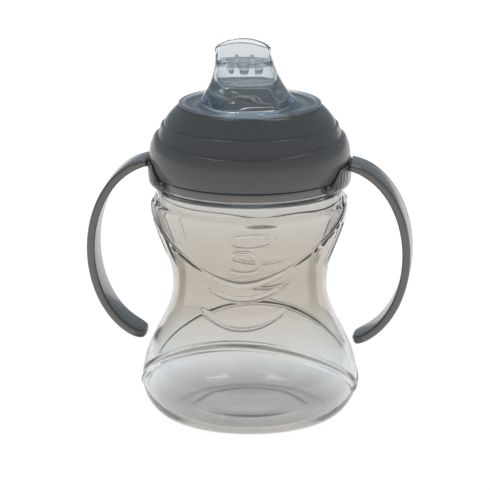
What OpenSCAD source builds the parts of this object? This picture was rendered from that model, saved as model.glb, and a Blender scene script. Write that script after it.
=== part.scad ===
// Two-handled trainer cup: a waisted clear cup, a loose ring with two handles, a soft
// spout with a slit valve, and a screw ring that clamps the spout to the cup's rim.
// Millimetres. +Z is up, the drinking front faces -Y and the handles lie along X.
// The origin is the centre of the foot, on the surface that the cup stands on.

/* [Cup] */
// Radius of the flat foot
foot_r = 29; // [27:0.5:31]
// Largest radius of the bowl
bowl_r = 40; // [39:0.25:41]
// Height of the widest part of the bowl
bowl_z = 13; // [11:0.5:15]
// Radius of the waist
waist_r = 28.5; // [27:0.5:30]
// Height of the waist
waist_z = 50; // [47:0.5:53]
// Radius of the shoulder
shoulder_r = 36; // [35:0.25:36.5]
// Height of the shoulder
shoulder_z = 79.5; // [78:0.5:81]
// Wall thickness of the cup
wall = 1.7; // [1.4:0.1:2.2]
// Height that the raised ridges stand off the wall
relief = 0.5; // [0.3:0.1:0.6]

/* [Neck and thread] */
// Outer radius of the threaded neck
neck_r = 28.4; // [28:0.1:28.6]
// Height of the cup's rim
rim_z = 111.6; // [111:0.2:111.6]
// Rise of the thread in one turn
thread_lead = 8; // [7.6:0.1:8.4]
// Radial height of each thread ridge
thread_h = 1.2; // [0.9:0.1:1.2]
// Turns that each thread ridge makes
thread_turns = 0.9; // [0.6:0.1:1.1]

/* [Screw ring] */
// Largest radius of the screw ring
ring_r = 37; // [36.6:0.1:37.2]
// Height of the screw ring's lower edge
ring_z = 91.7; // [91.6:0.1:92.5]
// Radius of the hole in the ring's deck
deck_hole_r = 24.2; // [24.1:0.1:24.6]
// Height of the lower bulge's upper edge at the front and back
swoop_z = 103.2; // [102:0.2:104]
// How much higher that edge stands at the sides
swoop_rise = 3.6; // [2:0.2:4]

/* [Handles] */
// Distance from the cup's axis to the outside of a handle
handle_reach = 60; // [57:0.5:63]
// Thickness of a handle at its middle
handle_t = 3; // [2.6:0.1:3.6]
// Width of a handle
handle_w = 16; // [10:0.5:18]

/* [Spout] */
// Height of the spout's tip above the foot
spout_top_z = 141.2; // [138:0.5:143]
// Half of the tip's width
tip_half_w = 10.3; // [9.8:0.1:11]
// Half of the tip's depth
tip_half_d = 4.8; // [4.6:0.1:5.4]
// Wall thickness of the silicone
silicone = 1.5; // [1.3:0.1:1.6]
// How far the tip's ends drop below its middle
tip_drop = 2.7; // [0:0.3:3]

/* [Hidden] */
$fn = 96;

// Shape of the cup's lower corner (2 is an ellipse) and of its waist
corner_power = 1.75;
waist_power = 1.13;
floor_t = 1.8;
recess_r = 21.5;
recess_h = 1.4;
ledge_r = 34.2;
ledge_z = 87.8;
ledge_edge_h = 1.3;
inner_shoulder_drop = 4;
recess_slope = 2;
neck_wall = 1.8;
round_edge = 0.5;

// Ridges on the cup: an arch over the bowl and a V-shaped bib below the shoulder
arch_side_z = 11;
arch_top_z = 33.9;
arch_w = 2.6;
arch_power = 1.8;
bib_side_z = 80.8;
bib_point_z = 57.6;
bib_half_w = 36.6;
bib_top_z = 82.4;
bib_power = 1.5;
curve_steps = 24;

// Two thread starts, half a lead apart on each wall
thread_starts = 2;
thread_z = 98;
thread_base_w = 1.6;
thread_crest_w = 0.8;
thread_root = 0.4;
thread_steps_per_turn = 48;
thread_ramp_steps = 5;
thread_tip_share = 0.4;
bore_gap = 0.5;
thread_wall_r = neck_r + thread_h + bore_gap;

// Clearance between pieces that move against each other
gap = 0.4;

// Screw ring: a bulging lower tier, a straight middle tier and a domed top
bulge_centre_r = 31;
bulge_centre_z = 98.7;
bulge_half_h = 10.1;
tier_step = 0.6;
middle_r = 32.4;
middle_top_z = 110.4;
dome_centre_r = 24.2;
dome_centre_z = 109.4;
dome_r = 7.5;
deck_t = 3.3;
bore_top_z = 110.6;
deck_top_z = dome_centre_z + dome_r;
ring_wall = 1.8;
skirt_z = 94;
skirt_wall = 1.4;
pocket_top_z = 97;

// Handle ring: a flat ring under the screw ring, two side lugs and two arms
band_gap = 0.6;
band_in_r = neck_r + band_gap;
band_out_r = 34;
band_z = ledge_z + gap;
band_h = 3.1;
lug_bottom_half_w = 19.6;
lug_top_half_w = 14;
lug_top_z = 96.8;
lug_out_r = 37.2;
lug_foot_in = 1.2;
lug_foot_h = 1.8;
lug_top_out_r = 38.4;
lug_notch_r = 0.9;
lug_notch_h = 5.5;
lug_notch_angles = [14, 18, 22];
arm_centre_r = 34;
arm_centre_z = 62.8;
arm_half_h = 35.2;
arm_end_t = 3.6;
arm_start_angle = 83;
arm_end_angle = -80;
arm_angle_step = 6.5;
tip_r = 1.75;
tip_reach = 39;
tip_z = 29.3;

// Soft spout
lip_r = 26.3;
lip_t = 1.3;
lip_z = deck_top_z + gap;
lip_top_z = lip_z + lip_t;
plug_out_r = deck_hole_r - gap;
plug_in_r = 21.8;
seal_r = 28.8;
seal_z = rim_z + 0.3;
seal_t = 1.3;
dish_drop = 0.6;
dish_z = lip_z - dish_drop;
dish_t = 1.4;
flare_r = 18.7;
flare_sink = 0.8;
flare_power = 2.6;
flare_depth_power = 1.5;
membrane_z = 131;
membrane_t = 1;
slit_w = 0.3;
slit_l = 8;
spout_steps = 14;
tube_out_r = 13.8;
tube_in_r = 11.6;
tube_z = 110.2;
tube_top_z = 126;

function ease(t) = (1 - cos(180 * pow(t, waist_power))) / 2;
function between(a, b, t) = a + (b - a) * t;

// Outer radius of the cup above its lower corner
function cup_r(z) =
    z <= waist_z ? between(bowl_r, waist_r, ease((z - bowl_z) / (waist_z - bowl_z)))
    : z <= shoulder_z ? between(waist_r, shoulder_r, ease((z - waist_z) / (shoulder_z - waist_z)))
    : between(shoulder_r, ledge_r, ease(min(1, (z - shoulder_z) / (ledge_z - ledge_edge_h - shoulder_z))));

// Points of the cup's side from the foot to the ledge, moved in by inset and up by lift
function cup_side(inset, lift, top_z) = concat(
    [for (a = [0:10:80]) [
        foot_r + (bowl_r - foot_r) * pow(sin(a), 2 / corner_power) - inset,
        lift + (bowl_z - lift) * (1 - pow(cos(a), 2 / corner_power))]],
    [for (i = [0:curve_steps]) let (z = between(bowl_z, top_z, i / curve_steps)) [cup_r(z) - inset, z]]);

// A zone of the front and back, between two heights given for each x, cut right through along Y
module zone(low, high) {
    rotate([90, 0, 0])
        linear_extrude(height = 2 * bowl_r + 4, center = true)
            polygon(concat(low, [for (i = [len(high) - 1:-1:0]) high[i]]));
}

function turn_share(x, r) = asin(min(1, abs(x) / r)) / 90;
function arch_z(x) = between(arch_top_z, arch_side_z, pow(turn_share(x, bowl_r), arch_power));
function bib_z(x) = between(bib_point_z, bib_side_z, pow(turn_share(x, bib_half_w), bib_power));
function curve_x(i, half_w) = between(-half_w, half_w, i / curve_steps);

// The cup's outside, swollen by the height of the raised relief
module cup_skin() {
    rotate_extrude()
        polygon(concat([[0, 1]], cup_side(-relief, 1, bib_top_z), [[0, bib_top_z]]));
}

module arch_ridge() {
    edge = bowl_r + relief + 0.5;
    low = [for (i = [0:curve_steps]) let (x = curve_x(i, edge)) [x, arch_z(x) - arch_w / 2]];
    high = [for (p = low) [p[0], p[1] + arch_w]];
    intersection() {
        cup_skin();
        zone(low, high);
    }
}

module bib_panel() {
    low = [for (i = [0:curve_steps]) let (x = curve_x(i, bib_half_w + 1)) [x, bib_z(x)]];
    high = [for (p = low) [p[0], bib_top_z + 1]];
    intersection() {
        cup_skin();
        zone(low, high);
    }
}

// A helical ridge of a right-hand thread on a wall of radius wall_r.
// side is 1 for a ridge that points outwards and -1 for one that points inwards.
module thread_ridge(wall_r, side, turn, start_z) {
    n = round(thread_turns * thread_steps_per_turn);
    points = [for (i = [0:n]) let (
            a = turn + 360 * i / thread_steps_per_turn,
            z = start_z + thread_lead * i / thread_steps_per_turn,
            from_end = min(i, n - i) + thread_tip_share,
            grow = min(1, from_end / thread_ramp_steps),
            crest_r = wall_r + side * thread_h * grow,
            root_r = wall_r - side * thread_root)
        for (p = [[root_r, -thread_base_w], [crest_r, -thread_crest_w],
                  [crest_r, thread_crest_w], [root_r, thread_base_w]])
            [p[0] * cos(a), p[0] * sin(a), z + p[1] / 2]];
    bands = [for (i = [0:n - 1]) for (k = [0:3]) let (
            here = 4 * i + k,
            next = 4 * i + (k + 1) % 4,
            quad = [here, here + 4, next + 4, next])
        side > 0 ? [quad[3], quad[2], quad[1], quad[0]] : quad];
    first = side > 0 ? [3, 2, 1, 0] : [0, 1, 2, 3];
    last = [for (k = [3:-1:0]) 4 * n + first[k]];
    polyhedron(points, concat([first], [last], bands), convexity = 6);
}

module thread(wall_r, side, turn) {
    for (i = [0:thread_starts - 1])
        thread_ridge(wall_r, side, turn + i * 360 / thread_starts, thread_z);
}

module cup_hollow() {
    inside = concat(
        [[0, floor_t + recess_h], [recess_r - recess_slope, floor_t + recess_h], [recess_r, floor_t]],
        cup_side(wall, floor_t, ledge_z - wall - inner_shoulder_drop),
        [[neck_r - neck_wall, ledge_z - wall], [neck_r - neck_wall, rim_z + 1], [0, rim_z + 1]]);
    rotate_extrude() polygon(inside);
}

module cup_shell() {
    outside = concat(
        [[0, recess_h], [recess_r - recess_slope, recess_h], [recess_r, 0]],
        cup_side(0, 0, ledge_z - 1),
        [[ledge_r, ledge_z], [neck_r, ledge_z], [neck_r, rim_z - round_edge],
         [neck_r - round_edge, rim_z], [0, rim_z]]);
    rotate_extrude() polygon(outside);
}

module cup_body() {
    color([0.82, 0.79, 0.75, 0.6])
        difference() {
            union() {
                cup_shell();
                arch_ridge();
                bib_panel();
                thread(neck_r, 1, 0);
            }
            cup_hollow();
        }
}

// Lower tier's section: an upright ellipse, so the ring bulges between its two edges
function bulge_out_r(z) = bulge_centre_r
    + (ring_r - bulge_centre_r) * sqrt(1 - pow((z - bulge_centre_z) / bulge_half_h, 2));
function bulge_points(inset) = [for (a = [-90:7.5:90])
    [bulge_centre_r - inset + (ring_r - bulge_centre_r) * cos(a), bulge_centre_z + bulge_half_h * sin(a)]];

module bulge(inset) {
    rotate_extrude()
        intersection() {
            polygon(concat([[0, bulge_centre_z - bulge_half_h]], bulge_points(inset),
                           [[0, bulge_centre_z + bulge_half_h]]));
            translate([0, ring_z]) square([ring_r + 1, 2 * bulge_half_h]);
        }
}

module lower_tier() {
    edge = ring_r + 1;
    high = [for (i = [0:curve_steps]) let (x = curve_x(i, edge))
        [x, swoop_z + swoop_rise * pow(x / middle_r, 2)]];
    low = [for (p = high) [p[0], ring_z - 1]];
    bulge(tier_step);
    intersection() {
        bulge(0);
        zone(low, high);
    }
}

module upper_tiers() {
    rotate_extrude() {
        translate([0, ring_z + 1])
            square([middle_r, middle_top_z - ring_z - 1 - round_edge]);
        translate([0, ring_z + 1])
            square([middle_r - round_edge, middle_top_z - ring_z - 1]);
        translate([middle_r - round_edge, middle_top_z - round_edge])
            circle(r = round_edge);
        intersection() {
            union() {
                translate([dome_centre_r, dome_centre_z]) circle(r = dome_r);
                square([dome_centre_r, deck_top_z]);
            }
            translate([0, middle_top_z - 2]) square([ring_r, dome_r + 2]);
        }
    }
}

// Space inside the ring: the threaded bore, the deck's hole and the pocket between the skirts
module ring_hollow() {
    rotate_extrude() {
        translate([0, ring_z - 1])
            square([thread_wall_r, bore_top_z - ring_z + 1]);
        translate([0, ring_z - 1])
            square([seal_r + bore_gap, deck_top_z - deck_t - ring_z + 1]);
        square([deck_hole_r, deck_top_z + 1]);
        translate([0, ring_z - 1])
            square([thread_wall_r + skirt_wall, skirt_z - ring_z + 1]);
        intersection() {
            polygon(bulge_points(ring_wall));
            translate([thread_wall_r + skirt_wall, ring_z - 1])
                square([ring_r, pocket_top_z - ring_z + 1]);
        }
    }
}

module screw_ring() {
    color([0.29, 0.29, 0.3])
        union() {
            difference() {
                union() {
                    lower_tier();
                    upper_tiers();
                }
                ring_hollow();
            }
            thread(thread_wall_r, -1, 90);
        }
}

module lug_pair() {
    band_top_z = band_z + band_h;
    inside = [for (i = [4:-1:0]) let (z = between(band_top_z, lug_top_z, i / 4))
        [bulge_out_r(max(z, ring_z)) + gap, z]];
    section = concat(
        [[band_out_r - 1, band_z], [lug_out_r - lug_foot_in, band_z], [lug_out_r, band_z + lug_foot_h],
         [lug_top_out_r, lug_top_z]],
        inside,
        [[band_out_r - 1, band_top_z]]);
    side = [[-lug_bottom_half_w, band_z], [lug_bottom_half_w, band_z],
            [lug_top_half_w, lug_top_z + 1], [-lug_top_half_w, lug_top_z + 1]];
    intersection() {
        rotate_extrude() polygon(section);
        rotate([90, 0, 90]) linear_extrude(height = 2 * handle_reach, center = true) polygon(side);
    }
}

// Short grip grooves near the front and back edge of each lug
module lug_notches() {
    for (turn = [0, 180], flip = [-1, 1], a = lug_notch_angles)
        rotate([0, 0, turn + flip * a])
            translate([lug_out_r + lug_notch_r / 3, 0, band_z + 1])
                cylinder(r = lug_notch_r, h = lug_notch_h, $fn = 24);
}

// Half of an ellipse about the arm's centre, from the lug to the tip
function arm_curve(reach, half_h) = [for (a = [arm_start_angle:-arm_angle_step:arm_end_angle])
    [arm_centre_r + (reach - arm_centre_r) * cos(a), arm_centre_z + half_h * sin(a)]];

module arm() {
    outer = arm_curve(handle_reach, arm_half_h);
    inner = arm_curve(handle_reach - handle_t, arm_half_h - arm_end_t);
    tip = [for (a = [-90:-20:-270]) [tip_reach + tip_r * cos(a), tip_z + tip_r * sin(a)]];
    rotate([90, 0, 0])
        linear_extrude(height = handle_w, center = true)
            polygon(concat(outer, tip, [for (i = [len(inner) - 1:-1:0]) inner[i]]));
}

module handle_ring() {
    color([0.38, 0.36, 0.34])
        union() {
            rotate_extrude()
                translate([band_in_r, band_z]) square([band_out_r - band_in_r, band_h]);
            difference() {
                lug_pair();
                lug_notches();
            }
            for (turn = [0, 180]) rotate([0, 0, turn]) arm();
        }
}

// Half-width and half-depth of the spout at height t, from 0 at the flare to 1 at the tip
function spout_half_w(t) = between(tip_half_w, flare_r, pow(1 - t, flare_power));
function spout_half_d(t) = between(tip_half_d, flare_r, pow(1 - t, flare_depth_power));

// The tapering spout, round at the flare and flat in front and behind at the tip
module spout_form(inset, low_z, high_z, drop = 0) {
    reach = flare_r + 0.3;
    low = [for (i = [0:curve_steps]) [curve_x(i, reach), low_z]];
    high = [for (p = low) [p[0], high_z - drop * pow(p[0] / tip_half_w, 2)]];
    ts = [for (i = [0:spout_steps]) i / spout_steps];
    z0 = lip_top_z - flare_sink;
    wide = [for (t = ts) [spout_half_w(t) - inset, between(z0, spout_top_z, t)]];
    deep = [for (t = ts) [spout_half_d(t) - inset, between(z0, spout_top_z, t)]];
    intersection() {
        rotate_extrude()
            polygon(concat([[0, z0 - 10], [flare_r - inset, z0 - 10]], wide, [[0, spout_top_z]]));
        rotate([90, 0, 90])
            linear_extrude(height = 3 * flare_r, center = true)
                polygon(concat([[flare_r, z0 - 11]], deep,
                               [for (i = [spout_steps:-1:0]) [-deep[i][0], deep[i][1]]],
                               [[-flare_r, z0 - 11]]));
        zone(low, high);
    }
}

module spout_flanges() {
    rotate_extrude() {
        translate([plug_in_r, seal_z]) square([seal_r - plug_in_r, seal_t]);
        translate([plug_in_r, seal_z]) square([plug_out_r - plug_in_r, lip_top_z - seal_z]);
        translate([plug_in_r, lip_z]) square([lip_r - round_edge - plug_in_r, lip_t]);
        translate([lip_r - lip_t / 2, lip_z + lip_t / 2]) circle(r = lip_t / 2);
        translate([flare_r - silicone, dish_z]) square([plug_in_r - flare_r + 2, dish_t]);
    }
}

// Straight tube inside the flare that leads the drink up to the valve
module spout_tube() {
    intersection() {
        rotate_extrude()
            translate([tube_in_r, tube_z]) square([tube_out_r - tube_in_r, tube_top_z - tube_z]);
        spout_form(0, tube_z - 1, tube_top_z + 1);
    }
}

module soft_spout() {
    color([0.8, 0.85, 0.9, 0.6]) {
        difference() {
            union() {
                spout_flanges();
                spout_form(0, dish_z, spout_top_z, tip_drop);
            }
            spout_form(silicone, dish_z - 5, membrane_z);
            spout_form(silicone, membrane_z + membrane_t, spout_top_z + 1);
            translate([-slit_l / 2, -slit_w / 2, membrane_z - 1])
                cube([slit_l, slit_w, membrane_t + 2]);
        }
        spout_tube();
    }
}

cup_body();
handle_ring();
screw_ring();
soft_spout();
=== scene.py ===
"""Two-handled trainer cup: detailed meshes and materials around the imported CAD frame."""
from math import cos, degrees, exp, hypot, pi, radians, sin, sqrt, tau

import bpy
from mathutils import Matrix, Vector

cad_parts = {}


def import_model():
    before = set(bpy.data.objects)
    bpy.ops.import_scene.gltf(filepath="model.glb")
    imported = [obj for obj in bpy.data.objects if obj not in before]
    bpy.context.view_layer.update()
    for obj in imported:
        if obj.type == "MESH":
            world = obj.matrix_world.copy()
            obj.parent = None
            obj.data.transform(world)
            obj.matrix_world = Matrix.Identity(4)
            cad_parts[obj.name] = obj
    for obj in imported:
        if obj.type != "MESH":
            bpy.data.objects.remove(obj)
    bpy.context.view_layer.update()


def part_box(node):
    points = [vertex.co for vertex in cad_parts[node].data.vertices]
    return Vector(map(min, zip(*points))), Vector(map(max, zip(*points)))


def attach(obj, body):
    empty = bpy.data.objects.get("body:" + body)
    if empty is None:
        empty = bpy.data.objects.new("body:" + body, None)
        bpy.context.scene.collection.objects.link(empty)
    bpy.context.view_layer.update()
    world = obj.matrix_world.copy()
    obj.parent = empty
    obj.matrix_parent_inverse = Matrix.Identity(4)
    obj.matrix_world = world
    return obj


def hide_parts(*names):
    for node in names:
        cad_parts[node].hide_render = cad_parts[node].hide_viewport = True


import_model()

# ---------------------------------------------------------------- shared sizes
# Lengths are in millimetres and angles in degrees; meshes are scaled to metres when made.
MM = 0.001


def node_mm(node):
    """Lowest and highest corner of a CAD node, in millimetres."""
    return [[c / MM for c in corner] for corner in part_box(node)]


RING_LO, RING_HI = node_mm("screw_ring")
RIM_Z = node_mm("cup_body")[1][2]
SPOUT_TOP = node_mm("soft_spout")[1][2]
HANDLE_REACH = node_mm("handle_ring")[1][0]

NECK_R = 28.4
THREAD_LEAD, THREAD_H, THREAD_TURNS, THREAD_STARTS = 8.0, 1.2, 0.9, 2
THREAD_Z, THREAD_HALF, THREAD_FLANK, THREAD_RAMP = 98.0, 0.85, 0.42, 30


# ---------------------------------------------------------------- small helpers
def clamp(x, lo=0.0, hi=1.0):
    return max(lo, min(hi, x))


def smooth(x):
    """An S-shaped step from 0 at 0 to 1 at 1."""
    x = clamp(x)
    return x * x * (3 - 2 * x)


def mix(a, b, t):
    return a + (b - a) * t


def bump(x):
    """A round bead: 1 at 0, down to 0 at -1 and 1."""
    return (1 + cos(pi * clamp(x, -1, 1))) / 2


def dip(x, half):
    """A soft groove: 1 at 0, fading over half."""
    return exp(-(x / half) ** 2)


def heights(start, end, step):
    """Heights from start up or down towards end, which isn't reached."""
    z = start
    while (end - z) * step > 0:
        yield z
        z += step


def polar(r, phi, z):
    """A point at radius r, height z and angle phi from the front (-Y) towards +X."""
    return (r * sin(phi), -r * cos(phi), z)


def angles(n):
    return [tau * k / n for k in range(n)]


def arc(cr, cz, r, a0, a1, steps):
    """Points (radius, height) on a circle about (cr, cz) from angle a0 to a1."""
    turns = [radians(mix(a0, a1, i / steps)) for i in range(steps + 1)]
    return [(cr + r * cos(a), cz + r * sin(a)) for a in turns]


def line(p, q, steps):
    """Points from p to q, both included."""
    return [(mix(p[0], q[0], i / steps), mix(p[1], q[1], i / steps)) for i in range(steps + 1)]


def curve(radius, low, high, steps):
    """Points (radius, height) from low to high, where radius is a function of the height."""
    return [(radius(z), z) for z in (mix(low, high, i / steps) for i in range(steps + 1))]


# ---------------------------------------------------------------- mesh tools
def make_mesh(name, verts, faces, body, node, material):
    """A mesh object in metres that stands for a CAD node and rides on its body."""
    mesh = bpy.data.meshes.new(name)
    mesh.from_pydata([[c * MM for c in v] for v in verts], [], faces)
    mesh.validate()
    mesh.shade_smooth()
    mesh.materials.append(material)
    obj = bpy.data.objects.new(name, mesh)
    bpy.context.scene.collection.objects.link(obj)
    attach(obj, body)
    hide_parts(node)
    return obj


def skin(rings, loop=False):
    """Vertices of equally long rings, and the faces between each ring and the next."""
    n = len(rings[0])
    verts = [p for ring in rings for p in ring]
    faces = []
    for i in range(len(rings) if loop else len(rings) - 1):
        a, b = i * n, ((i + 1) % len(rings)) * n
        for k in range(n):
            m = (k + 1) % n
            faces.append((a + k, a + m, b + m, b + k))
    return verts, faces


def skin_to_poles(rings, first_pole, last_pole):
    """A skin whose first and last ring are closed by a point each."""
    n = len(rings[0])
    verts, faces = skin(rings)
    first, last = len(verts), len(verts) + 1
    end = (len(rings) - 1) * n
    faces += [(first, (k + 1) % n, k) for k in range(n)]
    faces += [(last, end + k, end + (k + 1) % n) for k in range(n)]
    return verts + [first_pole, last_pole], faces


def skin_with_caps(rings):
    """A skin whose first and last ring are closed by a flat face each."""
    n = len(rings[0])
    verts, faces = skin(rings)
    end = (len(rings) - 1) * n
    faces.append(tuple(range(n - 1, -1, -1)))
    faces.append(tuple(end + k for k in range(n)))
    return verts, faces


def joined(parts):
    """One list of vertices and faces from several."""
    all_verts, all_faces = [], []
    for verts, faces in parts:
        base = len(all_verts)
        all_verts += verts
        all_faces += [tuple(base + i for i in face) for face in faces]
    return all_verts, all_faces


def thread_height(phi, z, turn):
    """Height at angle phi of the helical ridges, whose starts are turned by an angle."""
    theta = (degrees(phi) - 90 - turn) % 360
    length = THREAD_TURNS * 360
    best = 0.0
    for start in range(THREAD_STARTS):
        along = (theta - start * 360 / THREAD_STARTS) % 360
        if along <= length:
            off = abs(z - THREAD_Z - THREAD_LEAD * along / 360)
            ramp = smooth(min(along, length - along) / THREAD_RAMP)
            best = max(best, ramp * clamp((THREAD_HALF - off) / THREAD_FLANK))
    return THREAD_H * best


# ---------------------------------------------------------------- cup
FOOT_R, BOWL_R, WAIST_R, SHOULDER_R, LEDGE_R = 29.0, 40.0, 28.5, 36.0, 34.2
BOWL_Z, WAIST_Z, SHOULDER_Z, LEDGE_Z = 13.0, 50.0, 79.5, 87.8
CORNER_POWER, WAIST_POWER = 1.75, 1.13
WALL, FLOOR_T, NECK_WALL = 1.7, 1.8, 1.8
RECESS_H, LEDGE_EDGE_H = 1.4, 1.3
LEDGE_ROUND, NECK_ROUND, INNER_ROUND, ROOF_ROUND = 0.6, 0.5, 0.8, 1.0
FLOOR_TOP = FLOOR_T + RECESS_H

# Points (radius, height) under the foot from the middle out, and on the floor inside from the corner in
FOOT_PROFILE = ((6.0, RECESS_H), (13.0, RECESS_H), (17.5, RECESS_H), (19.3, RECESS_H - 0.1), (20.4, 0.8),
                (21.2, 0.2), (22.2, 0.0), (25.0, 0.0), (27.6, 0.0))
FLOOR_PROFILE = ((25.0, FLOOR_T), (22.4, FLOOR_T + 0.05), (21.4, FLOOR_T + 0.4), (20.4, FLOOR_TOP - 0.3),
                 (19.2, FLOOR_TOP), (12.0, FLOOR_TOP), (5.0, FLOOR_TOP))
NECK_INSIDE_Z = (108, 104, 100, 96, 92, 89, 87.4)
LEDGE_MIDDLE_R = 31.5
ROOF_R = (29.5, 31.0)

# How closely the cup is divided; the fine zone holds the pads
CORNER_STEPS = 16
SIDE_STEP, FINE_STEP, THREAD_STEP, INSIDE_STEP = 0.42, 0.3, 0.5, 2.2
FINE_LOW_Z, FINE_HIGH_Z = 60, 79
FRONT_SPAN, FRONT_COLUMNS, OTHER_COLUMNS = 44.0, 76, 184

# Bib: a raised field under the shoulder, with a bead along its lower edge and a groove below the bead
BIB_ZONE = (50, 84)
BIB_POINT_Z, BIB_RISE, BIB_REACH, BIB_POWER, BIB_LIMIT = 57.3, 23.5, 80.0, 1.65, 1.06
BACK_BIB_Z, BACK_BIB_RISE, BACK_BIB_LIMIT = 64.2, 17.5, 1.2
BACK_WAVE_H, BACK_WAVES = 0.8, 6.5
BIB_TOP_Z, BIB_H, BIB_EDGE, BIB_SIDE_FADE = 82.3, 0.5, 0.7, 12
BEAD_H, BACK_BEAD_H, BEAD_OFFSET, BEAD_HALF = 0.3, 0.15, 1.0, 1.2
GROOVE_D, BACK_GROOVE_D, GROOVE_OFFSET, GROOVE_HALF = 0.68, 0.5, 0.9, 0.7

# Pads: a flat oval and a bullet shape in the middle of the bib, each outlined by a fine groove
PAD_WALL_R, PAD_H, PAD_EDGE, PAD_GROOVE_HALF = 31, 0.2, 0.8, 0.42
OVAL_X, OVAL_Z, OVAL_HALF_W, OVAL_HALF_H, OVAL_TILT, OVAL_GROOVE_D = 3.4, 74.0, 7.4, 2.6, 0.05, 0.38
BULLET_X, BULLET_Z, BULLET_HALF_W, BULLET_HALF_H, BULLET_TAPER = 1.0, 65.7, 5.4, 4.3, 1.3
BULLET_POWER, BULLET_GROOVE_D = 2.6, 0.45

# Arch: a ridge over the bowl, with a groove above it
ARCH_ZONE_TOP = 45
ARCH_Z, ARCH_DROP, ARCH_REACH, ARCH_END_Z = 33.9, 21.5, 82.0, 11.2
ARCH_H, ARCH_HALF, ARCH_FADE_Z, ARCH_FADE = 0.65, 1.4, 6, 3
ARCH_GROOVE_D, ARCH_GROOVE_OFFSET, ARCH_GROOVE_HALF = 0.6, 1.75, 0.6

# Short curved ridges at the waist: lowest height, rise, reach round the cup, bead height, half-width
WAIST_ZONE = (38, 56)
WAIST_RIDGES = ((50.6, 4.8, 31, 0.7, 0.9), (40.2, 6.6, 33, 0.85, 1.0))
WAIST_RIDGE_FADE = 8

# Upright ridges below the bib's sides: angle from the front, bead height
SIDE_ZONE = (55, 75)
SIDE_RIDGES = ((61, 0.5), (80, 0.55))
SIDE_RIDGE_LEAN, SIDE_RIDGE_HALF, SIDE_RIDGE_TOP_FADE = 0.12, 2.2, 2
SIDE_RIDGE_LOW_Z, SIDE_RIDGE_LOW_FADE = 57, 7


def ease(t):
    """A rounded S from 0 to 1 with its steepest part moved by WAIST_POWER."""
    return (1 - cos(pi * clamp(t) ** WAIST_POWER)) / 2


def cup_r(z):
    """Outer radius of the cup above its lower corner."""
    if z <= WAIST_Z:
        return mix(BOWL_R, WAIST_R, ease((z - BOWL_Z) / (WAIST_Z - BOWL_Z)))
    if z <= SHOULDER_Z:
        return mix(WAIST_R, SHOULDER_R, ease((z - WAIST_Z) / (SHOULDER_Z - WAIST_Z)))
    return mix(SHOULDER_R, LEDGE_R, ease((z - SHOULDER_Z) / (LEDGE_Z - LEDGE_EDGE_H - SHOULDER_Z)))


def folded(phi):
    """Angle from the nearer of front and back, 0 to 90 degrees."""
    a = abs((degrees(phi) + 180) % 360 - 180)
    return min(a, 180 - a)


def bib_z(a, back=False):
    """Height of the bib's lower edge at folded angle a; the back edge is shallower."""
    if back:
        rise = BACK_BIB_RISE * min(BACK_BIB_LIMIT, (a / BIB_REACH) ** 2)
        return BACK_BIB_Z + rise - BACK_WAVE_H * cos(radians(a * BACK_WAVES))
    return BIB_POINT_Z + BIB_RISE * min(BIB_LIMIT, (a / BIB_REACH) ** BIB_POWER)


def bib(a, z, back):
    above = z - bib_z(a, back)
    side_fade = smooth((90 - a) / BIB_SIDE_FADE)
    bead_h, groove_d = (BACK_BEAD_H, BACK_GROOVE_D) if back else (BEAD_H, GROOVE_D)
    field = BIB_H * smooth(above / BIB_EDGE + 0.5) * smooth((BIB_TOP_Z - z) / BIB_EDGE + 0.5)
    bead = bead_h * bump((above - BEAD_OFFSET) / BEAD_HALF) * side_fade
    groove = groove_d * dip(above + GROOVE_OFFSET, GROOVE_HALF) * side_fade
    return field + bead - groove


def pad(inside, groove_d):
    """A raised pad; inside is the distance within its outline."""
    return PAD_H * smooth(inside / PAD_EDGE) - groove_d * dip(inside, PAD_GROOVE_HALF)


def pads(phi, z):
    x = sin(phi) * PAD_WALL_R
    slope = OVAL_TILT * (x - OVAL_X)
    oval = (1 - hypot((x - OVAL_X) / OVAL_HALF_W, (z - OVAL_Z - slope) / OVAL_HALF_H)) * OVAL_HALF_H
    up = (z - BULLET_Z) / BULLET_HALF_H
    across = abs(x - BULLET_X) / (BULLET_HALF_W - BULLET_TAPER * clamp(up, -1, 1))
    reach = (across ** BULLET_POWER + abs(up) ** BULLET_POWER) ** (1 / BULLET_POWER)
    return pad(oval, OVAL_GROOVE_D) + pad((1 - reach) * BULLET_HALF_H, BULLET_GROOVE_D)


def arch(a, z):
    above = z - max(ARCH_Z - ARCH_DROP * (a / ARCH_REACH) ** 2, ARCH_END_Z)
    ridge = ARCH_H * bump(above / ARCH_HALF) * smooth((z - ARCH_FADE_Z) / ARCH_FADE)
    return ridge - ARCH_GROOVE_D * dip(above - ARCH_GROOVE_OFFSET, ARCH_GROOVE_HALF)


def waist_ridges(a, z):
    h = 0.0
    for base, rise, reach, height, half in WAIST_RIDGES:
        fade = smooth((reach - a) / WAIST_RIDGE_FADE)
        h += height * fade * bump((z - base - rise * (a / reach) ** 2) / half)
    return h


def side_ridges(a, z):
    h = 0.0
    for side, height in SIDE_RIDGES:
        middle = side - (SIDE_ZONE[1] - z) * SIDE_RIDGE_LEAN
        top_fade = smooth((bib_z(a) - z) / SIDE_RIDGE_TOP_FADE)
        low_fade = smooth((z - SIDE_RIDGE_LOW_Z) / SIDE_RIDGE_LOW_FADE)
        h += height * top_fade * low_fade * bump((a - middle) / SIDE_RIDGE_HALF)
    return h


def within(z, zone):
    return zone[0] < z < zone[1]


def relief(phi, z):
    """Height of the raised pattern above the cup's wall."""
    a = folded(phi)
    back = cos(phi) < 0
    h = 0.0
    if within(z, BIB_ZONE):
        h += bib(a, z, back)
        if not back:
            h += pads(phi, z)
    if z < ARCH_ZONE_TOP:
        h += arch(a, z)
    if within(z, WAIST_ZONE):
        h += waist_ridges(a, z)
    if within(z, SIDE_ZONE):
        h += side_ridges(a, z)
    return h


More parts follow.
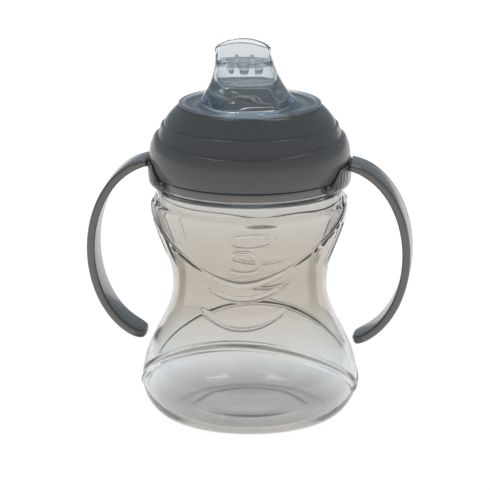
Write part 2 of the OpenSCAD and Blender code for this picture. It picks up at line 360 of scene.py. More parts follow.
def corner_point(i):
    """Radius of point i of the lower corner, and its share of the corner's height."""
    a = radians(90 * i / CORNER_STEPS)
    r = FOOT_R + (BOWL_R - FOOT_R) * sin(a) ** (2 / CORNER_POWER)
    return r, 1 - cos(a) ** (2 / CORNER_POWER)


def side_heights():
    """Heights up the cup's side, closer together in the fine zone."""
    z = BOWL_Z
    while z < LEDGE_Z - LEDGE_ROUND - 0.1:
        yield z
        z += FINE_STEP if FINE_LOW_Z < z < FINE_HIGH_Z else SIDE_STEP


def flat(points):
    """Rows without relief from (radius, height) points."""
    return [(r, z, "flat") for r, z in points]


def outside_rows():
    """(radius, height, kind) from the middle of the foot up the outside and over half of the rim."""
    rows = flat(FOOT_PROFILE)
    for i in range(CORNER_STEPS):
        r, share = corner_point(i)
        rows.append((r, BOWL_Z * share, "side"))
    rows += [(cup_r(z), z, "side") for z in side_heights()]
    rows += flat(arc(LEDGE_R - LEDGE_ROUND, LEDGE_Z - LEDGE_ROUND, LEDGE_ROUND, 10, 90, 5))
    rows += flat([(LEDGE_MIDDLE_R, LEDGE_Z), (NECK_R + NECK_ROUND, LEDGE_Z)])
    rows += flat(arc(NECK_R + NECK_ROUND, LEDGE_Z + NECK_ROUND, NECK_ROUND, 255, 180, 3))
    rows += [(NECK_R, z, "thread") for z in heights(LEDGE_Z + 1.0, RIM_Z - NECK_ROUND - 0.1, THREAD_STEP)]
    rows += flat(arc(NECK_R - NECK_ROUND, RIM_Z - NECK_ROUND, NECK_ROUND, 0, 90, 4))
    return rows


def inside_rows():
    """(radius, height, kind) over the rest of the rim, down the inside and in along the floor."""
    neck_in = NECK_R - NECK_WALL
    roof = LEDGE_Z - WALL
    below = roof - ROOF_ROUND
    points = arc(neck_in + NECK_ROUND, RIM_Z - NECK_ROUND, NECK_ROUND, 90, 180, 4)
    points += [(neck_in, z) for z in NECK_INSIDE_Z]
    points += arc(neck_in + INNER_ROUND, roof + INNER_ROUND, INNER_ROUND, 190, 265, 4)
    points += [(r, roof) for r in ROOF_R]
    points += arc(cup_r(below) - WALL - ROOF_ROUND, below, ROOF_ROUND, 85, 5, 5)
    points += [(cup_r(z) - WALL, z) for z in heights(below - 0.4, BOWL_Z, -INSIDE_STEP)]
    for i in range(CORNER_STEPS, 0, -1):
        r, share = corner_point(i)
        points.append((r - WALL, mix(FLOOR_T, BOWL_Z, share)))
    return flat(points) + flat(FLOOR_PROFILE)


def cup_angles():
    """Angles round the cup, closer together across the front where the finest relief is."""
    half = FRONT_SPAN / 2
    front = [mix(-half, half, i / FRONT_COLUMNS) for i in range(FRONT_COLUMNS)]
    rest = [mix(half, 360 - half, i / OTHER_COLUMNS) for i in range(OTHER_COLUMNS)]
    return [radians(a) for a in front + rest]


def cup_ring(r, z, kind, phis):
    if kind == "side":
        return [polar(r + relief(p, z), p, z) for p in phis]
    if kind == "thread":
        return [polar(r + thread_height(p, z, 0), p, z) for p in phis]
    return [polar(r, p, z) for p in phis]


def cup_body(material):
    phis = cup_angles()
    rings = [cup_ring(r, z, kind, phis) for r, z, kind in outside_rows() + inside_rows()]
    verts, faces = skin_to_poles(rings, (0, 0, RECESS_H), (0, 0, FLOOR_TOP))
    return make_mesh("cup_shell", verts, faces, "cup", "cup_body", material)


# ---------------------------------------------------------------- screw ring
RING_R, RING_Z, DECK_Z = RING_HI[0], RING_LO[2], RING_HI[2]
BULGE_R, BULGE_Z, BULGE_H = 31.0, 98.7, 10.1
SWOOP_Z, SWOOP_RISE = 103.9, 2.9
MIDDLE_Z, TIER_STEP = 110.4, 0.8
DOME_FOOT_R, DOME_FOOT_Z, DOME_BULGE = 32.0, 110.0, 2.9
DOME_TOP_R, DOME_TOP_Z = 26.3, 117.2
DECK_EDGE_R, DECK_HOLE_R, DECK_T, DECK_ROUND = 25.2, 24.2, 3.3, 0.25
BORE_R = NECK_R + THREAD_H + 0.5
BORE_TOP_Z, SEAT_R, SEAT_MIDDLE_R = 110.6, 29.3, 26.5
SKIRT_Z, SKIRT_WALL, RING_WALL = 94.0, 1.4, 1.8
SKIRT_ROUND, BORE_STEP = 0.15, 0.36
POCKET_Z, POCKET_ROUND = 97.0, 0.7
RING_COLUMNS = 256
RING_THREAD_TURN = 90

# Rounded upper edge of a tier: (inwards, down) from its corner
STEP_ROUND = ((0.02, 0.3), (0.08, 0.17), (0.18, 0.08), (0.32, 0.02), (0.5, 0.0))
# Rounded lower edge of the ring: inwards from the wall, up from the bottom
LOWER_ROUND = ((1.3, 0.0), (0.7, 0.0))
LOWER_EDGE = ((0.25, 0.18), (0.04, 0.45))
LOWER_EDGE_H = 0.7


def bulge_r(z):
    """Outer radius of the lower tier, a quarter-ellipse either side of BULGE_Z."""
    return BULGE_R + (RING_R - BULGE_R) * sqrt(max(0.0, 1 - ((z - BULGE_Z) / BULGE_H) ** 2))


def dome_r(z):
    """Radius of the dome: a nearly straight slope with a slight bulge."""
    t = clamp((z - DOME_FOOT_Z) / (DOME_TOP_Z - DOME_FOOT_Z))
    return mix(DOME_FOOT_R, DOME_TOP_R, t) + DOME_BULGE * t * (1 - t)


def swoop_z(phi):
    """Height of the lower tier's edge, lowest at front and back."""
    return SWOOP_Z + SWOOP_RISE * sin(phi) ** 2


def rounded_step(r, z):
    return [(r - inwards, z - down) for inwards, down in STEP_ROUND]


def lower_tier(edge):
    """From the ring's bottom up the bulging wall to its edge and in to the middle tier's foot."""
    low = RING_Z + LOWER_EDGE_H
    r_edge = bulge_r(edge)
    foot_r = r_edge - TIER_STEP
    points = [(bulge_r(RING_Z) - inwards, RING_Z + up) for inwards, up in LOWER_ROUND]
    points += [(bulge_r(low) - inwards, RING_Z + up) for inwards, up in LOWER_EDGE]
    points += curve(bulge_r, low, edge - 0.45, 26)
    points += rounded_step(r_edge, edge)
    points += [(foot_r, edge - 0.04), (foot_r - 0.1, edge + 0.15)]
    return points


def middle_tier(edge):
    """The straight wall between the swooping edge and the dome."""
    top_r = dome_r(MIDDLE_Z) + TIER_STEP
    foot = (bulge_r(edge) - TIER_STEP - 0.16, edge + 0.5)
    return line(foot, (top_r, MIDDLE_Z - 0.35), 12) + rounded_step(top_r, MIDDLE_Z)


def dome():
    """The dome, from the middle tier's edge to the deck."""
    low = MIDDLE_Z + 0.15
    high = DOME_TOP_Z - 0.5
    points = [(dome_r(low) - 0.05, low - 0.15)]
    points += curve(dome_r, low + 0.2, high, 16)
    points += [(dome_r(high) - 0.35, DOME_TOP_Z - 0.2), (dome_r(high) - 0.9, DOME_TOP_Z - 0.05)]
    return points


def deck():
    """The deck, its hole and the seat below it."""
    under = DECK_Z - DECK_T
    points = [(DECK_EDGE_R, DOME_TOP_Z), (DECK_HOLE_R + 0.4, DECK_Z)]
    points += [(DECK_HOLE_R, z) for z in (DECK_Z - DECK_ROUND, DECK_Z - DECK_T / 2, under)]
    points += [(SEAT_MIDDLE_R, under), (SEAT_R, under), (SEAT_R, BORE_TOP_Z + 0.4), (BORE_R, BORE_TOP_Z)]
    return points


def skirt(phi):
    """Down the threaded bore, round the skirt's end and up to the pocket."""
    levels = heights(BORE_TOP_Z - 0.3, SKIRT_Z + 0.3, -BORE_STEP)
    points = [(BORE_R - thread_height(phi, z, RING_THREAD_TURN), z) for z in levels]
    outside = BORE_R + SKIRT_WALL
    points += [(BORE_R + SKIRT_ROUND, SKIRT_Z), (outside - SKIRT_ROUND, SKIRT_Z), (outside, SKIRT_Z + 0.4)]
    points += [(outside, POCKET_Z - 0.8), (outside + POCKET_ROUND, POCKET_Z)]
    return points


def pocket():
    """From the pocket's roof down the inside of the outer wall."""
    points = [(bulge_r(POCKET_Z) - RING_WALL - POCKET_ROUND, POCKET_Z)]
    points += [(bulge_r(z) - RING_WALL, z) for z in (POCKET_Z - 0.8, SKIRT_Z)]
    points += [(bulge_r(RING_Z) - RING_WALL, RING_Z + 0.2)]
    return points


def ring_section(phi):
    """The ring's closed section at angle phi, anticlockwise from its lower outer edge."""
    edge = swoop_z(phi)
    return lower_tier(edge) + middle_tier(edge) + dome() + deck() + skirt(phi) + pocket()


def screw_ring(material):
    phis = angles(RING_COLUMNS)
    sections = [ring_section(p) for p in phis]
    rings = []
    for level in zip(*sections):
        rings.append([polar(r, p, z) for p, (r, z) in zip(phis, level)])
    verts, faces = skin(rings, loop=True)
    return make_mesh("screw_ring_shell", verts, faces, "ring", "screw_ring", material)


# ---------------------------------------------------------------- handle ring
BAND_IN_R, BAND_OUT_R, BAND_Z, BAND_H, BAND_ROUND = NECK_R + 0.6, 34.0, 88.2, 3.1, 0.5
BAND_COLUMNS = 192

# Arms: half an ellipse each, swept from ARM_TOP inside the lug to ARM_TIP
HANDLE_T, HANDLE_W = 3.0, 16.0
ARM_CENTRE_R, ARM_CENTRE_Z = 34.0, 62.8
ARM_A, ARM_B = HANDLE_REACH - ARM_CENTRE_R - HANDLE_T / 2, 33.55
ARM_TOP, ARM_TIP, ARM_LENGTH, ARM_STEPS, ARM_CROWDING = 82.3, -79.5, 95.0, 84, 1.25
ARM_CROWN, ARM_CORNER, ARM_CORNER_STEPS = 0.22, 1.0, 5
ROOT_HALF_T, ROOT_SHARE = 1.3, 0.12
TIP_ROUND, TIP_EDGE, TIP_LEAST_W, TIP_LEAST_T = 7.5, 1.2, 0.12, 0.25

# Lugs: curved plates against the screw ring, with upright ribs
LUG_SPAN, LUG_STEPS, LUG_TOP_Z, LUG_SLOPE, LUG_LEVELS = 30.5, 44, 96.8, 9.5, 7
LUG_END_H, LUG_END_EDGE, LUG_END_T = 2.2, 2.0, 0.35
LUG_FOOT = ((36.2, 0.0), (36.9, 0.5), (37.25, 1.5))
LUG_FLARE, LUG_GAP, LUG_LEAST_T, LUG_INNER_R = 0.1, 0.42, 0.25, 33.0
LUG_RIBS, LUG_RIB_D, LUG_RIB_HALF = (14.5, 18.5, 22.5, 26.5), 0.3, 1.5


def arm_point(p):
    """(x, z) on the arm's middle curve at ellipse angle p, and its outward normal."""
    c, s = cos(radians(p)), sin(radians(p))
    nx, nz = c / ARM_A, s / ARM_B
    m = hypot(nx, nz)
    return ARM_CENTRE_R + ARM_A * c, ARM_CENTRE_Z + ARM_B * s, nx / m, nz / m


def rounded_section(half_t, half_w):
    """A rounded rectangle: (across thickness, along width) points."""
    corner = min(ARM_CORNER, half_t * 0.98, half_w * 0.98)
    points = []
    for cx, cy, start in ((1, 1, 0), (-1, 1, 90), (-1, -1, 180), (1, -1, 270)):
        middle = (cx * (half_t - corner), cy * (half_w - corner))
        points += arc(*middle, corner, start, start + 90, ARM_CORNER_STEPS)
    return points


def arm_ring(side, t):
    """The arm's section at share t of its way from root to tip; its outer face is slightly crowned."""
    x, z, nx, nz = arm_point(mix(ARM_TOP, ARM_TIP, t))
    to_tip = (1 - t) * ARM_LENGTH
    round_end = sqrt(max(0.0, 1 - (1 - clamp(to_tip / TIP_ROUND)) ** 2))
    half_t = mix(ROOT_HALF_T, HANDLE_T / 2, smooth(t / ROOT_SHARE))
    half_t *= mix(TIP_LEAST_T, 1.0, sqrt(clamp(to_tip / TIP_EDGE)))
    half_w = HANDLE_W / 2 * mix(TIP_LEAST_W, 1.0, round_end)
    ring = []
    for u, w in rounded_section(half_t, half_w):
        if u > 0:
            u += ARM_CROWN * (1 - (w / (HANDLE_W / 2)) ** 2)
        ring.append((side * (x + nx * u), side * w, z + nz * u))
    return ring


def arm_rings(side):
    """Sections of one arm from inside the lug to its rounded tip, closer together near the tip."""
    shares = [1 - (1 - i / ARM_STEPS) ** ARM_CROWDING for i in range(ARM_STEPS + 1)]
    return [arm_ring(side, t) for t in shares]


def lug_outside(top):
    """(radius, height) up the lug's outer face and over its rounded top edge."""
    foot = [(r, BAND_Z + up) for r, up in LUG_FOOT]
    r_foot, z_foot = foot[-1]
    wall = []
    for k in range(1, LUG_LEVELS + 1):
        z = mix(z_foot, top - 0.7, k / LUG_LEVELS)
        wall.append((r_foot + LUG_FLARE * (z - BAND_Z - 1.5), z))
    r_top = wall[-1][0]
    return foot + wall + [(r_top - 0.2, top - 0.2), (r_top - 0.6, top)]


def lug_section(a):
    """The lug's closed section at angle a from its middle, thinning towards its ends."""
    to_end = LUG_SPAN - abs(a)
    top = mix(BAND_Z + LUG_END_H, LUG_TOP_Z, smooth(to_end / LUG_SLOPE))
    fullness = mix(LUG_END_T, 1.0, sqrt(clamp(to_end / LUG_END_EDGE)))
    rib = sum(LUG_RIB_D * bump((abs(a) - place) / LUG_RIB_HALF) for place in LUG_RIBS)
    section = []
    for r, z in lug_outside(top):
        wall = bulge_r(max(z, RING_Z)) + 0.5
        ribbed = r - rib if z > BAND_Z + 1 else r
        section.append((max(wall + LUG_LEAST_T, mix(wall + 0.3, ribbed, fullness)), z))
    band_top = BAND_Z + BAND_H
    for k in range(LUG_LEVELS + 1):
        z = mix(top, band_top, k / LUG_LEVELS)
        section.append((bulge_r(max(z, RING_Z)) + LUG_GAP, z))
    return section + [(LUG_INNER_R, band_top), (LUG_INNER_R, BAND_Z)]


def lug_rings(side):
    rings = []
    for i in range(LUG_STEPS + 1):
        a = mix(-LUG_SPAN, LUG_SPAN, i / LUG_STEPS)
        phi = radians(side * 90 + a)
        rings.append([polar(r, phi, z) for r, z in lug_section(a)])
    return rings


def band_rings():
    """The flat ring with rounded corners."""
    out_r, in_r = BAND_OUT_R - BAND_ROUND, BAND_IN_R + BAND_ROUND
    low, high = BAND_Z + BAND_ROUND, BAND_Z + BAND_H - BAND_ROUND
    section = []
    for r, z, start in ((out_r, high, 0), (in_r, high, 90), (in_r, low, 180), (out_r, low, 270)):
        section += arc(r, z, BAND_ROUND, start, start + 90, 3)
    return [[polar(r, p, z) for r, z in section] for p in angles(BAND_COLUMNS)]


def handle_ring(material):
    parts = [skin(band_rings(), loop=True)]
    for side in (1, -1):
        parts += [skin_with_caps(arm_rings(side)), skin_with_caps(lug_rings(side))]
    verts, faces = joined(parts)
    return make_mesh("handle_ring_shell", verts, faces, "handles", "handle_ring",
                     material)


# ---------------------------------------------------------------- soft spout
SPOUT_COLUMNS = 144
LIP_R, LIP_T, LIP_Z = 26.3, 1.3, DECK_Z + 0.4
LIP_TOP = LIP_Z + LIP_T
SPOUT_BASE = LIP_TOP - 0.8
FLARE_R, TIP_HALF_W, TIP_HALF_D = 18.7, 10.3, 4.8
FLARE_POWER_W, FLARE_POWER_D = 2.6, 1.5
SPOUT_WALL, SPOUT_STEPS, CHANNEL_R, CHANNEL_STEP = 1.5, 40, 11.0, 0.9
TIP_SAG, TIP_SAG_FROM_Z = 2.7, 128
LEAN, LEAN_POWER, SPOUT_SHIFT, SHIFT_OVER = 1.7, 1.2, -0.9, 4

# Valve: a membrane that sags in the middle, with three hanging pockets (middle, half-width) and webs
MEMBRANE_Z, MEMBRANE_STEPS, MEMBRANE_SAG, MEMBRANE_RISE = 133.0, 26, 1.5, 0.9
LOBES = ((-4.9, 1.7), (-0.2, 2.5), (5.2, 2.2))
LOBE_DEPTH, LOBE_HALF_D, LOBE_STEEPNESS = 4.0, 2.5, 2.2
WEBS, WEB_H = (-2.9, 2.7), 2.2
MOUTH_Z = (MEMBRANE_Z + 1.3, 135.2, 136.2, 137.5, 139, 140.2)

# Rounded rim of the tip: (down, inwards) from the outside of the top
TIP_RIM = ((0.35, SPOUT_WALL - 0.1), (0.06, SPOUT_WALL - 0.45), (0.0, SPOUT_WALL / 2), (0.06, 0.35),
           (0.35, 0.08))

# (radius, height) profiles, in the order in which the spout's surface runs
FLANGE_Z = 111.9
DISH = ((FLARE_R + 0.5, SPOUT_BASE + 0.12), (19.6, LIP_Z + 0.38), (21.0, LIP_Z + 0.3), (22.6, LIP_Z + 0.42),
        (23.8, LIP_Z + 0.72), (24.6, LIP_TOP - 0.22), (25.2, LIP_TOP - 0.03))
LIP = ((25.7, LIP_TOP - 0.02), (26.12, LIP_TOP - 0.25), (LIP_R - 0.02, LIP_Z + LIP_T / 2),
       (26.12, LIP_Z + 0.25), (25.7, LIP_Z + 0.02), (24.9, LIP_Z), (24.1, LIP_Z))
PLUG_OUTSIDE = ((23.8, LIP_Z - 0.3), (23.8, 115.2), (23.8, FLANGE_Z + 1.6), (24.1, FLANGE_Z + 1.3))
FLANGE = ((27.0, FLANGE_Z + 1.3), (28.4, FLANGE_Z + 1.25), (28.8, FLANGE_Z + 0.8), (28.6, FLANGE_Z + 0.15),
          (28.2, FLANGE_Z), (25.0, FLANGE_Z), (22.2, FLANGE_Z), (21.8, FLANGE_Z + 0.4))
PLUG_INSIDE = ((21.8, 114.5), (21.6, LIP_Z - 1.6), (20.8, LIP_Z - 1.0), (19.0, LIP_Z - 0.8))
TUBE_Z = 110.2
TUBE = ((16.5, LIP_Z - 0.8), (14.6, LIP_Z - 1.0), (13.9, LIP_Z - 1.6), (13.8, 113.5), (13.8, 111.2),
        (13.4, TUBE_Z + 0.1), (12.4, TUBE_Z), (11.4, TUBE_Z + 0.1))


def spout_half(z):
    """Half-width, half-depth and squareness of the spout's outside at height z."""
    t = clamp((z - SPOUT_BASE) / (SPOUT_TOP - SPOUT_BASE))
    half_w = mix(TIP_HALF_W, FLARE_R, (1 - t) ** FLARE_POWER_W)
    half_d = mix(TIP_HALF_D, FLARE_R, (1 - t) ** FLARE_POWER_D)
    return half_w, half_d, mix(2.0, 2.7, smooth(t * 1.4))


def squircle(half_w, half_d, power, phi):
    """A point on an ellipse that is squarer the higher the power."""
    s, c = sin(phi), -cos(phi)
    k = (abs(s) ** power + abs(c) ** power) ** (-1 / power)
    return half_w * k * s, half_d * k * c


def lean_x(z):
    """How far the spout has moved aside at height z."""
    t = clamp((z - SPOUT_BASE) / (SPOUT_TOP - SPOUT_BASE))
    return SPOUT_SHIFT * smooth((z - LIP_Z) / SHIFT_OVER) - LEAN * t ** LEAN_POWER


def lobes(x, y):
    """How far the valve hangs down at (x, y): three rounded pockets side by side."""
    depth = 0.0
    for cx, half in LOBES:
        inside = 1 - hypot((x - cx) / half, y / LOBE_HALF_D)
        depth = max(depth, LOBE_DEPTH * smooth(LOBE_STEEPNESS * inside))
    for cx in WEBS:
        depth -= WEB_H * smooth((1.15 - abs(x - cx)) / 0.4) * smooth((1.5 - abs(y)) / 0.5)
    return depth


def spout_ring(z, inset, shrink=1.0, valve=False):
    """The spout's outline at height z, moved in by inset, sagging at the ends near the tip."""
    half_w, half_d, power = spout_half(z)
    sag = TIP_SAG * smooth((z - TIP_SAG_FROM_Z) / (SPOUT_TOP - TIP_SAG_FROM_Z))
    ring = []
    for p in angles(SPOUT_COLUMNS):
        x, y = squircle((half_w - inset) * shrink, (half_d - inset) * shrink, power, p)
        out = (x / TIP_HALF_W) ** 2
        level = z - sag * out
        if valve:
            level -= lobes(x, y) + MEMBRANE_SAG * (1 - out) - MEMBRANE_RISE
        ring.append((x + lean_x(z), y, level))
    return ring


def membrane(z):
    """Rings of the valve's membrane from its middle out."""
    shares = [i / MEMBRANE_STEPS for i in range(1, MEMBRANE_STEPS)]
    return [spout_ring(z, SPOUT_WALL, shrink=s, valve=True) for s in shares]


def spout_outside():
    """Rings from below the tip's rim down to the flare's foot."""
    top, foot = SPOUT_TOP - 0.6, SPOUT_BASE + 0.45
    return [spout_ring(mix(top, foot, i / SPOUT_STEPS), 0.0) for i in range(1, SPOUT_STEPS + 1)]


def channel():
    """Rings up the inside of the tube to the membrane."""
    rings = []
    for z in heights(TUBE_Z + 1.0, MEMBRANE_Z - 0.6, CHANNEL_STEP):
        half_w, half_d, power = spout_half(z)
        w, d = min(CHANNEL_R, half_w - SPOUT_WALL), min(CHANNEL_R, half_d - SPOUT_WALL)
        outline = [squircle(w, d, power, p) for p in angles(SPOUT_COLUMNS)]
        rings.append([(x + lean_x(z), y, z) for x, y in outline])
    return rings


def soft_spout(material):
    rings = membrane(MEMBRANE_Z + 1.0)
    rings += [spout_ring(z, SPOUT_WALL) for z in MOUTH_Z]
    rings += [spout_ring(SPOUT_TOP - down, inwards) for down, inwards in TIP_RIM]
    rings += spout_outside()
    for r, z in DISH + LIP + PLUG_OUTSIDE + FLANGE + PLUG_INSIDE + TUBE:
        rings.append([polar(r, p, z) for p in angles(SPOUT_COLUMNS)])
    rings += channel()
    rings += reversed(membrane(MEMBRANE_Z + 0.1))
    middle = lean_x(MEMBRANE_Z)
    top_pole = (middle, 0, MEMBRANE_Z + 0.4 - LOBE_DEPTH)
    low_pole = (middle, 0, MEMBRANE_Z - 0.5 - LOBE_DEPTH)
    verts, faces = skin_to_poles(rings, top_pole, low_pole)
    outward = [tuple(reversed(f)) for f in faces]
    return make_mesh("spout_shell", verts, outward, "spout", "soft_spout", material)


# ---------------------------------------------------------------- materials
# Tint by height in millimetres: the foot and lower corner are darkened with painted shade, the panel clear,
# the waist brownish, the shoulder pale
FOOT_PAINTED_SHADE, CORNER_PAINTED_SHADE, WAIST_TINT = (0.46, 0.45, 0.41), (0.60, 0.595, 0.565), (0.785, 0.735, 0.665)
CUP_TINTS_AND_FOOT_SHADE = ((0, FOOT_PAINTED_SHADE), (5, CORNER_PAINTED_SHADE), (12, (0.96, 0.985, 1.0)), (28, (0.99, 1.0, 1.0)),
             (36, (0.88, 0.86, 0.82)), (48, WAIST_TINT), (60, WAIST_TINT), (74, (0.865, 0.845, 0.80)),
             (88, (0.97, 0.97, 0.95)))
SPOUT_TINTS = ((112, (0.80, 0.88, 0.94)), (120, (0.88, 0.93, 0.96)), (128, (0.92, 0.95, 0.955)),
               (141, (0.97, 0.98, 0.98)))
FROST_TOP, FROST_LOW = 34.0, 26.0
TINT_WANDER = 0.004
NOISE_LOW, NOISE_HIGH = 0.3, 0.7
PLASTIC_IOR, SILICONE_IOR = 1.49, 1.41
PATCH_SCALE, GRAIN_SCALE, GRAIN_BUMP, GRAIN_DEPTH = 55, 1900, 0.06, 0.00005
COAT, COAT_ROUGHNESS = 0.15, 0.1
FLOW_SCALE, HAZE_SCALE, RIPPLE_DEPTH = 38, 240, 0.0006


def node_material(name):
    mat = bpy.data.materials.new(name)
    mat.use_nodes = True
    nodes, links = mat.node_tree.nodes, mat.node_tree.links
    return mat, nodes, links, nodes["Principled BSDF"]


def noise_node(nodes, links, scale, detail, coords):
    n = nodes.new("ShaderNodeTexNoise")
    n.inputs["Scale"].default_value = scale
    n.inputs["Detail"].default_value = detail
    links.new(coords, n.inputs["Vector"])
    return n.outputs["Fac"]


def ramp_node(nodes, links, value, low, high):
    """Maps 0..1 to a colour between low and high."""
    n = nodes.new("ShaderNodeValToRGB")
    n.color_ramp.elements[0].color = (*low, 1)
    n.color_ramp.elements[1].color = (*high, 1)
    links.new(value, n.inputs["Fac"])
    return n.outputs["Color"]


def range_node(nodes, links, value, low, high):
    """Maps the usual range of a noise to low..high."""
    n = nodes.new("ShaderNodeMapRange")
    n.inputs["From Min"].default_value = NOISE_LOW
    n.inputs["From Max"].default_value = NOISE_HIGH
    n.inputs["To Min"].default_value = low
    n.inputs["To Max"].default_value = high
    links.new(value, n.inputs["Value"])
    return n.outputs["Result"]


def bump_node(nodes, links, height, strength, distance, shader):
    n = nodes.new("ShaderNodeBump")
    n.inputs["Strength"].default_value = strength
    n.inputs["Distance"].default_value = distance
    links.new(height, n.inputs["Height"])
    links.new(n.outputs["Normal"], shader.inputs["Normal"])


def height_node(nodes, links, coords):
    """The height above the table in metres."""
    split = nodes.new("ShaderNodeSeparateXYZ")
    links.new(coords, split.inputs["Vector"])
    return split.outputs["Z"]


def moulded_plastic(name, low, high, rough_low, rough_high, shine):
    """Satin moulded plastic: fine grain, slight shade variation and a soft coat."""
    mat, nodes, links, shader = node_material(name)
    coords = nodes.new("ShaderNodeTexCoord").outputs["Object"]
    patches = noise_node(nodes, links, PATCH_SCALE, 3, coords)
    grain = noise_node(nodes, links, GRAIN_SCALE, 4, coords)
    links.new(ramp_node(nodes, links, patches, low, high), shader.inputs["Base Color"])
    links.new(range_node(nodes, links, grain, rough_low, rough_high), shader.inputs["Roughness"])
    bump_node(nodes, links, grain, GRAIN_BUMP, GRAIN_DEPTH, shader)
    shader.inputs["IOR"].default_value = PLASTIC_IOR
    shader.inputs["Specular IOR Level"].default_value = shine
    shader.inputs["Coat Weight"].default_value = COAT
    shader.inputs["Coat Roughness"].default_value = COAT_ROUGHNESS
    return mat


def fill_ramp(ramp, stops, low, high):
    """Sets a ramp's colours from (height in mm, colour) stops. low and high are its ends in metres."""
    elements = ramp.color_ramp.elements
    elements[0].color = (*stops[0][1], 1)
    elements[1].color = (*stops[-1][1], 1)
    for height, colour in stops[1:-1]:
        element = elements.new((height * MM - low) / (high - low))
        element.color = (*colour, 1)


def height_tint(nodes, links, coords, noise, stops):
    """A colour that changes with height, wandering a little with noise."""
    low, high = stops[0][0] * MM, stops[-1][0] * MM
    wander = nodes.new("ShaderNodeMath")
    wander.operation = "MULTIPLY_ADD"
    wander.inputs[1].default_value = TINT_WANDER
    links.new(noise, wander.inputs[0])
    links.new(height_node(nodes, links, coords), wander.inputs[2])
    share = nodes.new("ShaderNodeMapRange")
    share.inputs["From Min"].default_value = low
    share.inputs["From Max"].default_value = high
    links.new(wander.outputs["Value"], share.inputs["Value"])
    ramp = nodes.new("ShaderNodeValToRGB")
    links.new(share.outputs["Result"], ramp.inputs["Fac"])
    fill_ramp(ramp, stops, low, high)
    return ramp.outputs["Color"]


def frosted(nodes, links, coords, rough, frost):
    """Adds roughness below the arch, where the panel is matt."""
    share = nodes.new("ShaderNodeMapRange")
    share.inputs["From Min"].default_value = FROST_TOP * MM
    share.inputs["From Max"].default_value = FROST_LOW * MM
    share.inputs["To Max"].default_value = frost
    links.new(height_node(nodes, links, coords), share.inputs["Value"])
    total = nodes.new("ShaderNodeMath")
    links.new(share.outputs["Result"], total.inputs[0])
    links.new(rough, total.inputs[1])
    return total.outputs["Value"]


def absorb(nodes, links, density, colour):
    """Darkens and tints light by the thickness that it passes through."""
    depth = nodes.new("ShaderNodeVolumeAbsorption")
    depth.inputs["Density"].default_value = density
    depth.inputs["Color"].default_value = (*colour, 1)
    links.new(depth.outputs["Volume"], nodes["Material Output"].inputs["Volume"])


def clear_plastic(name, tints, ior, rough_low, rough_high, ripple, clear_share, frost):
    """Clear plastic or silicone: tinted, with a faint flow ripple and a slight haze."""
    mat, nodes, links, shader = node_material(name)
    coords = nodes.new("ShaderNodeTexCoord").outputs["Object"]
    flow = noise_node(nodes, links, FLOW_SCALE, 2, coords)
    haze = noise_node(nodes, links, HAZE_SCALE, 3, coords)
    links.new(height_tint(nodes, links, coords, flow, tints), shader.inputs["Base Color"])
    rough = range_node(nodes, links, haze, rough_low, rough_high)
    if frost:
        rough = frosted(nodes, links, coords, rough, frost)
    links.new(rough, shader.inputs["Roughness"])
    bump_node(nodes, links, flow, ripple, RIPPLE_DEPTH, shader)
    shader.inputs["IOR"].default_value = ior
    shader.inputs["Transmission Weight"].default_value = clear_share
    return mat, nodes, links


def clear_cup_material():
    mat, nodes, links = clear_plastic("clear_cup", CUP_TINTS_AND_FOOT_SHADE, PLASTIC_IOR, rough_low=0.01, rough_high=0.04,
                                      ripple=0.12, clear_share=0.95, frost=0.035)
    absorb(nodes, links, 80, (0.5, 0.46, 0.42))
    return mat


def silicone_material():
    mat, nodes, links = clear_plastic("silicone", SPOUT_TINTS, SILICONE_IOR, rough_low=0.02,
                                      rough_high=0.05, ripple=0.02, clear_share=0.91, frost=0)
    absorb(nodes, links, 26, (0.4, 0.64, 0.84))
    return mat


def ring_material():
    return moulded_plastic("ring_plastic", (0.096, 0.093, 0.0935), (0.107, 0.104, 0.1045),
                           rough_low=0.2, rough_high=0.27, shine=0.3)


def handle_material():
    return moulded_plastic("handle_plastic", (0.118, 0.107, 0.099), (0.134, 0.122, 0.113),
                           rough_low=0.17, rough_high=0.24, shine=0.9)


# ---------------------------------------------------------------- stage
# In metres and watts. The glowing floor lights the cup from all round, as a light table does.
FLOOR_HALF, FLOOR_DROP, FLOOR_SHADE, FLOOR_GLOW = 6.0, 0.0002, 0.12, 0.97
ROOM_COLOUR, ROOM_STRENGTH = (0.76, 0.89, 1.0), 0.4
SOFTBOX_SIDE, SOFTBOX_BEHIND, SOFTBOX_UP, SOFTBOX_AIM_Z = 0.34, 0.42, 1.3, 0.07
SOFTBOX_W, SOFTBOX_H, SOFTBOX_POWER = 0.16, 0.3, 2.0
CAMERA_TARGET_Z, CAMERA_DISTANCE = 0.072, 1.25
CAMERA_AZIMUTH, CAMERA_ELEVATION = 6.2, 13.9
SENSOR, VIEW_WIDTH = 36.0, 0.1813
SHIFT_X, SHIFT_Y = -0.01, -0.042245
BOUNCES = 20


def softbox(name, side):
    """A soft light above and behind the cup, aimed at its middle. side is -1 for left, 1 for right."""
    data = bpy.data.lights.new(name, "AREA")
    data.shape = "RECTANGLE"
    data.size, data.size_y = SOFTBOX_W, SOFTBOX_H
    data.energy = SOFTBOX_POWER
    place = Vector((side * SOFTBOX_SIDE, SOFTBOX_BEHIND, SOFTBOX_UP))
    aim = Vector((0, 0, SOFTBOX_AIM_Z))
    obj = bpy.data.objects.new(name, data)
    obj.location = place
    obj.rotation_euler = (aim - place).to_track_quat("-Z", "Y").to_euler()
    bpy.context.scene.collection.objects.link(obj)


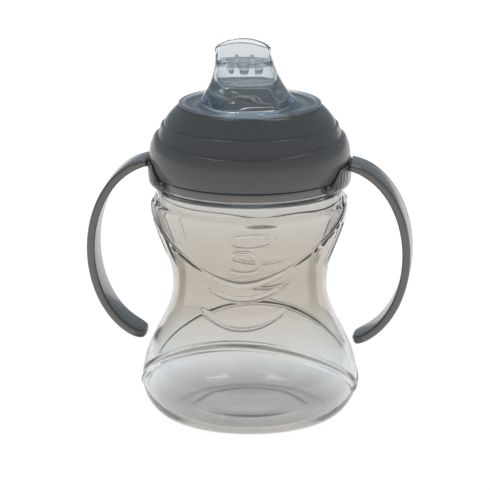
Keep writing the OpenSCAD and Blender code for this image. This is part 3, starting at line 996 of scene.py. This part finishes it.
def floor():
    """A pale floor that also glows."""
    h = FLOOR_HALF
    mesh = bpy.data.meshes.new("floor")
    mesh.from_pydata([(-h, -h, 0), (h, -h, 0), (h, h, 0), (-h, h, 0)], [], [(0, 1, 2, 3)])
    mat, _, _, shader = node_material("floor_white")
    shader.inputs["Base Color"].default_value = (FLOOR_SHADE, FLOOR_SHADE, FLOOR_SHADE, 1)
    shader.inputs["Roughness"].default_value = 0.9
    shader.inputs["Specular IOR Level"].default_value = 0.0
    shader.inputs["Emission Color"].default_value = (1, 1, 1, 1)
    shader.inputs["Emission Strength"].default_value = FLOOR_GLOW
    mesh.materials.append(mat)
    obj = bpy.data.objects.new("floor", mesh)
    obj.location = (0, 0, -FLOOR_DROP)
    bpy.context.scene.collection.objects.link(obj)


def world():
    """A dim, slightly blue room that the camera itself sees as white."""
    w = bpy.data.worlds.new("studio")
    bpy.context.scene.world = w
    w.use_nodes = True
    nodes, links = w.node_tree.nodes, w.node_tree.links
    room = nodes["Background"]
    room.inputs["Color"].default_value = (*ROOM_COLOUR, 1)
    room.inputs["Strength"].default_value = ROOM_STRENGTH
    white = nodes.new("ShaderNodeBackground")
    white.inputs["Strength"].default_value = 1.0
    path = nodes.new("ShaderNodeLightPath")
    both = nodes.new("ShaderNodeMixShader")
    links.new(path.outputs["Is Camera Ray"], both.inputs["Fac"])
    links.new(room.outputs["Background"], both.inputs[1])
    links.new(white.outputs["Background"], both.inputs[2])
    links.new(both.outputs["Shader"], nodes["World Output"].inputs["Surface"])


def camera():
    """The photo's view: VIEW_WIDTH is what the picture's width spans at the cup's axis."""
    data = bpy.data.cameras.new("camera")
    data.sensor_width = data.sensor_height = SENSOR
    data.lens = SENSOR * CAMERA_DISTANCE / VIEW_WIDTH
    data.shift_x, data.shift_y = SHIFT_X, SHIFT_Y
    az, el = radians(CAMERA_AZIMUTH), radians(CAMERA_ELEVATION)
    out = Vector((sin(az) * cos(el), -cos(az) * cos(el), sin(el)))
    obj = bpy.data.objects.new("camera", data)
    obj.location = Vector((0, 0, CAMERA_TARGET_Z)) + out * CAMERA_DISTANCE
    obj.rotation_euler = (-out).to_track_quat("-Z", "Y").to_euler()
    bpy.context.scene.collection.objects.link(obj)
    bpy.context.scene.camera = obj


def render_settings():
    scene = bpy.context.scene
    scene.view_settings.view_transform = "Standard"
    scene.cycles.transmission_bounces = BOUNCES
    scene.cycles.max_bounces = BOUNCES


def main():
    render_settings()
    camera()
    world()
    floor()
    softbox("left_softbox", -1)
    softbox("right_softbox", 1)
    cup_body(clear_cup_material())
    screw_ring(ring_material())
    handle_ring(handle_material())
    soft_spout(silicone_material())


main()
